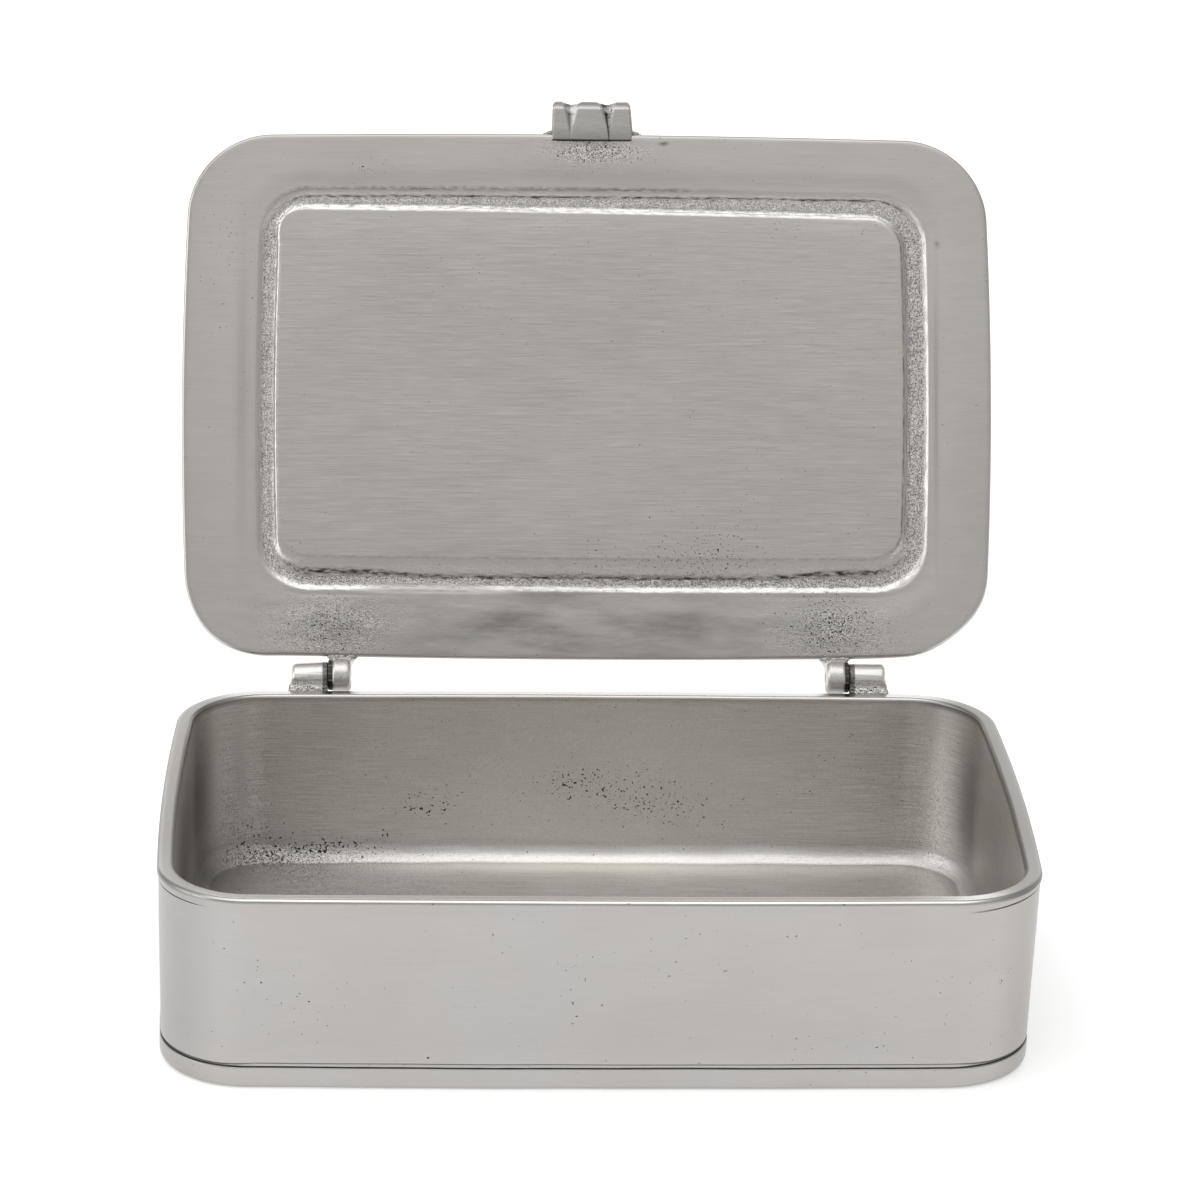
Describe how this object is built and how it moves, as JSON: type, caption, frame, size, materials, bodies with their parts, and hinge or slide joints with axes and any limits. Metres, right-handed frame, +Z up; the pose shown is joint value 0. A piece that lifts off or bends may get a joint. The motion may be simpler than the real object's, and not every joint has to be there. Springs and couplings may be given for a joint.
{
  "type": "lidded keepsake box",
  "caption": "Rectangular pewter keepsake box with rounded corners, a hinged lid with a thumbpiece, and incised lines round its base.",
  "frame": {"origin": "centre of the tub's underside, on the surface that it stands on", "axes": "+Z up, +X along the long side towards the right end, -Y towards the front where the thumbpiece shuts, hinges at the +Y side"},
  "size_m": [0.1512, 0.1463, 0.1343],
  "materials": {
    "pewter_tub": "brushed pewter, satin, with polished edges",
    "pewter_lid": "brushed pewter, satin, with a rough-cast channel underneath",
    "pewter_fittings": "cast and filed pewter, satin",
    "pin_steel": "dull steel wire"
  },
  "bodies": {
    "tub": {"box_body": "pewter_tub", "hinge_lug_left": "pewter_fittings", "hinge_lug_right": "pewter_fittings", "hinge_pin_left": "pin_steel", "hinge_pin_right": "pin_steel"},
    "lid": {"lid": "pewter_lid", "thumbpiece": "pewter_fittings", "lid_knuckle_left": "pewter_fittings", "lid_knuckle_right": "pewter_fittings"}
  },
  "joints": [
    {"name": "lid_hinge", "type": "hinge", "parent": "tub", "child": "lid", "pos_m": [0, 0.052, 0.0361], "axis": [1, 0, 0], "range_deg": [0, 114]}
  ]
}
